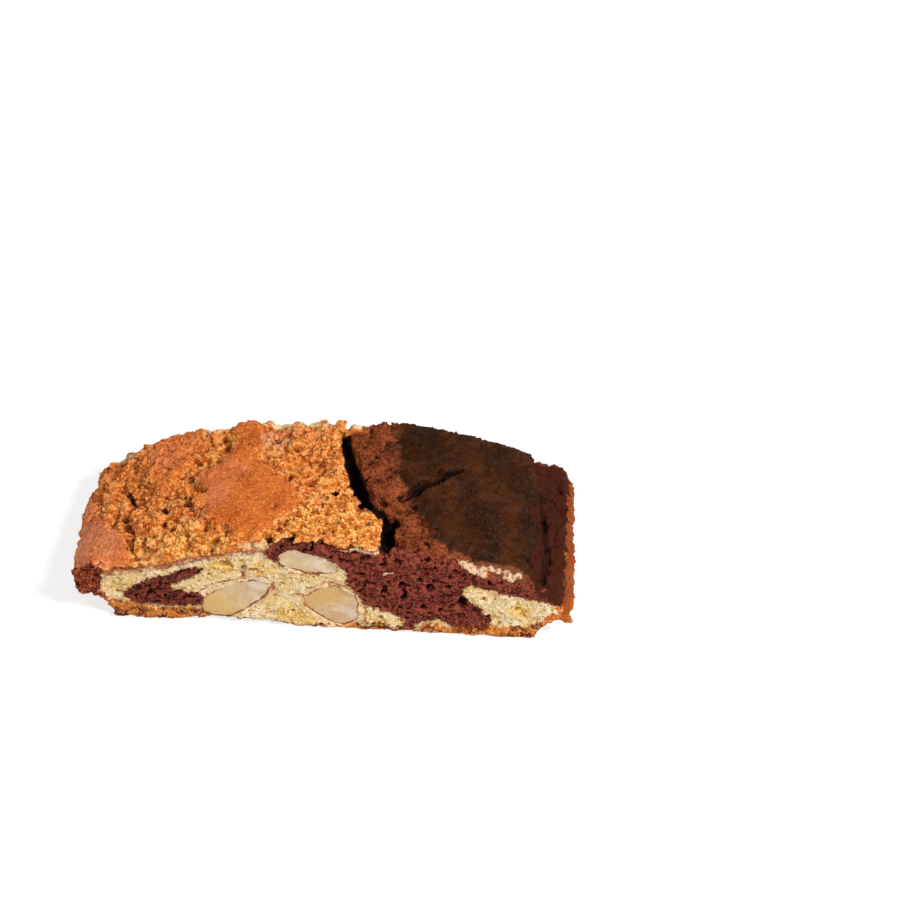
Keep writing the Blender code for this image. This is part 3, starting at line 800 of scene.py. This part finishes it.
def doughMaterial():
    m = Finish("baked_dough", dough)
    place = m.millimetres()
    grit = m.speckle(place, 0.2, 2, 5)
    fine = m.speckle(place, 0.38, 3)
    sand = m.speckle(place, 0.55, 2, 71)
    medium = m.speckle(place, 1.0, 3, 11)
    clump = m.speckle(place, 2.4, 3, 91)
    broad = m.speckle(place, 4.5, 2, 23)
    plate, gold, rustAndLitEdge, foot, shell = [m.field(name) for name in ("plate", "gold", "rustAndLitEdge", "foot", "shell")]
    # Painted light from hollowness: the large and small hollowness and low mark hollows for painted shade,
    # high marks the tops of bumps for painted highlights
    paintedShadeDip = m.ramp(m.field("paintedShadeDip"), 0.25, 0.9)
    crevice = m.frayed(m.field("hollow"), fine, -0.2)
    low = m.ramp(crevice, 0.05, 0.18)
    high = m.ramp(crevice, -0.02, -0.14)
    # The marbling's edge wanders with the crumb
    ragged = m.frayed(m.frayed(0.0, medium, 3.0), fine, 1.6)
    cocoa = m.ramp(m.figure("ADD", m.field("cocoa"), ragged), -0.25, 0.35)
    inner = m.times(m.ramp(m.figure("ADD", shell, ragged), 0.3, 1.1), m.ramp(m.field("cut"), 0.3, 0.7))
    # Plain crumb, and the browner crumb of the left tip
    crumb = m.layered(
        "crumb",
        ("crumbPale", m.ramp(broad, 0.4, 0.6)),
        ("crumbTan", m.ramp(sand, 0.5, 0.32, 0, 0.7)),
        ("crumbYellow", m.ramp(m.frayed(m.field("yellow"), medium, 1.8), 0.2, 0.8)),
        ("crumbYellow", m.ramp(medium, 0.5, 0.34, 0, 0.6)),
        # Painted highlight on the crumb's bumps, then painted shade in its pits
        ("crumbPale", m.times(high, 0.8)),
        ("crumbPaintedShade", m.times(low, 0.75)),
        ("crumbBrown", m.ramp(m.speckle(place, 0.9, 2, 51), 0.62, 0.68, 0, 0.8)))
    tip = m.layered("tip", ("tipDark", m.ramp(medium, 0.56, 0.42)),
                    ("tipLight", m.ramp(sand, 0.5, 0.64, 0, 0.7)))
    # Cocoa crumb
    cocoaCrumb = m.layered(
        "cocoaCrumb",
        ("cocoaLight", m.ramp(broad, 0.5, 0.7, 0, 0.35)),
        ("cocoaLight", m.ramp(sand, 0.5, 0.68)),
        ("cocoaDark", m.ramp(fine, 0.47, 0.34, 0, 0.7)),
        ("cocoaDark", m.ramp(medium, 0.5, 0.38, 0, 0.85)),
        # Painted shade in the cocoa crumb's pits
        ("cocoaDark", low),
        ("cocoaDark", m.times(m.field("core"), m.ramp(medium, 0.6, 0.4, 0.25, 0.85))),
        # Painted highlight on the cocoa crumb's bumps
        ("cocoaLight", m.times(high, 0.5)))
    # Plain crust, torn and with its skin
    # sunk is painted shade in the hollows of the torn crust
    sunk = m.times(low, m.ramp(clump, 0.56, 0.42, 0.35, 0.9))
    # Painted highlights on the torn crust: glints at random and on the tops of bumps
    lit = m.layered("roughHighlight", ("goldHighlight", gold))
    rough = m.layered(
        "rough",
        ("gold", m.times(gold, m.ramp(medium, 0.3, 0.6))),
        ("brown", m.ramp(clump, 0.52, 0.36, 0, 0.9)),
        ("brown", m.ramp(medium, 0.48, 0.34, 0, 0.6)),
        ("brown", m.ramp(fine, 0.48, 0.32, 0, 0.4)),
        # Painted shade in the torn crust's hollows, small and large
        ("roughPaintedShade", m.figure("MAXIMUM", sunk, m.times(paintedShadeDip, 0.85))),
        # Painted glints, then painted highlights on the tops of bumps
        (lit, m.ramp(m.speckle(place, 0.95, 2, 101), 0.5, 0.64, 0, 0.7)),
        (lit, m.times(high, m.ramp(medium, 0.42, 0.56))),
        ("dusty", m.times(m.field("dusty"), m.ramp(medium, 0.42, 0.58))))
    skin = m.layered(
        "skin",
        ("skinDark", m.ramp(broad, 0.4, 0.7)),
        ("blush", m.times(m.field("blush"), m.ramp(medium, 0.35, 0.6, 0.3, 1))),
        ("skinTip", m.ramp(fine, 0.48, 0.66, 0, 0.65)),
        ("skinDark", m.ramp(sand, 0.5, 0.34, 0, 0.7)),
        # Painted shade in the skin's hollows
        ("roughPaintedShade", m.times(low, 0.6)))
    rimHue = m.layered("end", ("rough", m.ramp(foot, 3, -0.5, 0, 0.8)))
    plainCrust = m.layered(rough, (skin, m.ramp(m.frayed(plate, medium, 2.6), 0.3, 1.0)),
                           (rimHue, m.times(m.field("end"), 0.85)))
    # Cocoa crust, its hues darker than its own colour by a painted cast shadow
    drawn = m.node("ShaderNodeVectorMath", {0: place, 1: (1, 0.5, 1)}, "Vector", operation="MULTIPLY")
    # A redder margin that is partly the crust's colour and partly a painted pool of light beside the seam
    rustAndLitEdgeShare = m.ramp(m.frayed(m.frayed(rustAndLitEdge, medium, 1.6), broad, 1.6), 0.1, 1.2)
    cocoaCrust = m.layered(
        "shadedCocoaSkin",
        ("shadedCocoaSkinDark", m.ramp(m.speckle(drawn, 5, 4, 61), 0.66, 0.36)),
        ("rustAndLitEdge", m.times(rustAndLitEdgeShare, m.ramp(rustAndLitEdge, 0, 0.3, 0.12, 1), m.ramp(sand, 0.36, 0.56, 0.35, 1))),
        ("shadedCocoaSkinDark", m.ramp(fine, 0.48, 0.32, 0, 0.6)),
        # Painted shade in the cocoa crust's hollows
        ("cocoaDark", m.times(m.figure("MAXIMUM", low, paintedShadeDip), 0.9)),
        ("cocoaTip", m.ramp(fine, 0.54, 0.7, 0, 0.5)),
        ("wall", m.ramp(m.frayed(m.field("wall"), medium, 1), 0.3, 0.9, 0, 0.8)),
        # Tan rim, partly a painted sheen on the rounded front edge
        ("tan", m.ramp(m.frayed(m.field("tan"), medium, 1.1), 0.3, 0.75, 0, 0.85)))
    # The browned outside, with a near black painted shade down in its splits and holes
    crustBody = m.layered(plainCrust, (cocoaCrust, cocoa),
                          ("seam", m.ramp(m.frayed(shell, medium, 1), 2.4, 3.6)),
                          ("seam", m.ramp(m.field("gap"), 0.2, 0.7)))
    crumbBody = m.layered(crumb, (cocoaCrumb, cocoa))
    pale, stain = m.field("pale"), m.field("stain")
    flakes = m.times(m.ramp(m.frayed(pale, medium, 2.2), 0.4, 0.8), m.ramp(pale, 0, 0.15),
                     m.ramp(sand, 0.36, 0.52, 0.2, 0.9))
    stained = m.times(m.ramp(m.frayed(stain, medium, 2.6), 0.45, 0.85), m.ramp(stain, 0, 0.15),
                      m.ramp(fine, 0.34, 0.5, 0.2, 0.9),
                      m.ramp(m.speckle(place, 2.6, 2, 97), 0.4, 0.54, 0.35, 1))
    toast = m.layered(
        "toast",
        ("toastDark", m.ramp(m.speckle(place, 2.6, 4, 83), 0.56, 0.42)),
        ("toastTip", m.ramp(sand, 0.5, 0.66, 0, 0.7)),
        # Painted shade in the toasted foot's hollows
        ("toastDark", m.times(low, 0.9)),
        ("toastDark", m.times(cocoa, 0.5)))
    body = m.layered(
        crustBody,
        (crumbBody, inner),
        (tip, m.ramp(m.frayed(m.field("tip"), medium, 1), 0.35, 0.6)),
        ("flake", flakes),
        ("crumbBrown", stained),
        (toast, m.ramp(m.frayed(foot, medium, 5), 0.4, -0.9)))
    m.plug(m.shader.inputs["Base Color"], body)
    glossy = m.times(plate, m.figure("SUBTRACT", 1.0, inner))
    m.plug(m.shader.inputs["Roughness"], m.ramp(glossy, 0.3, 1.0, 0.85, 0.5))
    m.shader.inputs["Specular IOR Level"].default_value = 0.1
    height = m.figure("ADD", m.times(fine, 0.6), m.times(grit, 0.4))
    strength = m.figure("SUBTRACT", m.ramp(glossy, 0.2, 0.8, 1.0, 0.5), m.times(inner, 0.35))
    bump = m.node("ShaderNodeBump", {"Height": height, "Strength": strength, "Distance": 0.5 * mm}, "Normal")
    m.plug(m.shader.inputs["Normal"], bump)
    return m.material


kernel = {"ivory": (198, 170, 128), "white": (212, 196, 168), "yellow": (202, 164, 82),
          "skin": (136, 58, 40), "vein": (176, 116, 70)}


def almondMaterial():
    m = Finish("almond", kernel)
    place = m.millimetres()
    fine = m.speckle(place, 0.5, 3, 31)
    broad = m.speckle(place, 3.2, 2, 37)
    along, mottle = m.field("along"), m.field("mottle")
    paintedCreaseShade = m.frayed(along, broad, 1.6)
    flesh = m.layered(
        "ivory",
        ("white", m.ramp(broad, 0.35, 0.65)),
        ("yellow", m.times(m.field("yellow"), m.ramp(along, 0.5, -0.6))),
        ("vein", m.times(m.ramp(fine, 0.56, 0.7), mottle)),
        ("skin", m.times(m.ramp(m.speckle(place, 0.9, 2, 59), 0.66, 0.7), mottle, 0.8)),
        ("vein", m.times(mottle, 0.26)),
        # A painted shade line along a crease of the cut kernel
        ("vein", m.times(m.ramp(paintedCreaseShade, 0.1, 0.2), m.ramp(paintedCreaseShade, 0.36, 0.2), 0.28)))
    edge = m.frayed(m.field("rim"), m.speckle(place, 1.8, 2, 41), 1.9)
    m.plug(m.shader.inputs["Base Color"], m.layered("skin", (flesh, m.ramp(edge, 0.16, 0.42))))
    m.shader.inputs["Roughness"].default_value = 0.48
    m.shader.inputs["Subsurface Weight"].default_value = 0.15
    m.shader.inputs["Subsurface Radius"].default_value = (1.0, 0.7, 0.4)
    m.shader.inputs["Subsurface Scale"].default_value = 0.8 * mm
    bump = m.node("ShaderNodeBump", {"Height": fine, "Strength": 0.35, "Distance": 0.1 * mm}, "Normal")
    m.plug(m.shader.inputs["Normal"], bump)
    return m.material


# Fine crumbs that cling to the torn crust and to both cut faces: how many, their sizes and how deep they sit
dust = {
    "crust_crumbs": {"count": 9900, "size": (0.13, 0.42), "sink": 0.2},
    "front_crumbs": {"count": 7600, "size": (0.1, 0.34), "sink": 0.3},
    "back_crumbs": {"count": 6400, "size": (0.1, 0.34), "sink": 0.3},
}


def dustWeight(name, points, normals):
    # Where such crumbs lie
    x, y, z = points.T
    within = half - np.abs(y)
    if name == "crust_crumbs":
        bare = 0.12 + 1 - plateShare(x, y)
        return bare * (within > 0.8) * (normals[:, 2] > -0.1) * (shellDepth(points) < 1.6) * (z > 1)
    side = y < 0 if name == "front_crumbs" else y > 0
    clear = almondReach(x, z, -1 if name == "front_crumbs" else 1) > 1.12
    return (within < 1.2) * side * clear * (z > 0.5) * (np.abs(normals[:, 1]) > 0.25)


def dustMesh(name, batch, doughMesh, draw):
    points, normals = readPoints(doughMesh)
    weight = dustWeight(name, points, normals)
    chance = weight / weight.sum()
    picks = np.random.default_rng(11).choice(len(points), batch["count"], replace=False, p=chance)
    places = []
    for pick in picks.tolist():
        size = mixed(*batch["size"], draw.random() ** 2)
        places.append((Vector(points[pick] - normals[pick] * batch["sink"] * size), size))
    form = bmesh.new()
    addCrumbs(form, places, 1, draw)
    return meshOf(form, name)


def finishPiece(mesh, name, node, shift, material):
    points, _ = readPoints(mesh)
    writePoints(mesh, (points + shift) * mm)
    if name not in dust:
        mesh.shade_smooth()
    mesh.materials.clear()
    mesh.materials.append(material)
    piece = placed(name, mesh)
    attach(piece, "root")
    if node:
        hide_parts(node)


# Floor and light, plain and soft. Each light has its name, place in metres, size and power.
stage = {"floor": (150, 150, 150), "glow": 0.72, "world": 0.32,
         "lights": [("key", (0.45, -0.25, 0.6), 0.16, 6.4), ("fill", (-0.6, -0.7, 0.5), 0.7, 2.0),
                    ("top", (-0.1, 0.3, 1.0), 0.9, 1.6)]}


def makeStage():
    flat = bmesh.new()
    bmesh.ops.create_grid(flat, x_segments=1, y_segments=1, size=3)
    finish = Finish("floor", {"floor": stage["floor"]})
    finish.plug(finish.shader.inputs["Base Color"], "floor")
    finish.shader.inputs["Roughness"].default_value = 0.9
    finish.shader.inputs["Emission Color"].default_value = (1, 1, 1, 1)
    finish.shader.inputs["Emission Strength"].default_value = stage["glow"]
    table = placed("floor", meshOf(flat, "floor"))
    table.data.materials.append(finish.material)
    for name, place, size, power in stage["lights"]:
        lamp = bpy.data.lights.new(name, "AREA")
        lamp.shape = "DISK"
        lamp.size = size
        lamp.energy = power
        light = placed(name, lamp)
        light.location = place
        light.rotation_euler = (-Vector(place)).to_track_quat("-Z", "Y").to_euler()
    world = bpy.data.worlds.new("studio")
    world.use_nodes = True
    world.node_tree.nodes["Background"].inputs["Color"].default_value = (1, 1, 1, 1)
    world.node_tree.nodes["Background"].inputs["Strength"].default_value = stage["world"]
    bpy.context.scene.world = world
    bpy.context.scene.view_settings.view_transform = "Standard"


draw = random.Random(7)
form = sliceForm()
places = list(crumbPlaces(draw))
corners = np.array([vertex.co for vertex in form.verts])
shift = np.array([*(-(corners.min(axis=0) + corners.max(axis=0)) / 2)[:2], 0])
addCrumbs(form, places, 2, draw)
print("form and crumbs:", len(form.verts), "points")
doughMesh = remeshed(form, relief["voxel"])
roughen(doughMesh)
print("one skin, roughened")
doughMesh = cutPockets(doughMesh)
keptInside(doughMesh, shift)
paintFields(doughMesh)
print("slice:", sum(len(face.vertices) - 2 for face in doughMesh.polygons), "triangles")
almondFinish = almondMaterial()
doughFinish = doughMaterial()
for name, batch in dust.items():
    crumbDust = dustMesh(name, batch, doughMesh, draw)
    keptInside(crumbDust, shift)
    paintFields(crumbDust)
    finishPiece(crumbDust, name, None, shift, doughFinish)
print("fine crumbs placed")
finishPiece(doughMesh, "biscuit_slice", "biscuit_dough", shift, doughFinish)
for name, almond in almonds.items():
    finishPiece(almondMesh(name + "_kernel", almond), name + "_kernel", name, shift, almondFinish)
print("almonds placed")
makeStage()
makeCamera(Vector(shift) * mm)
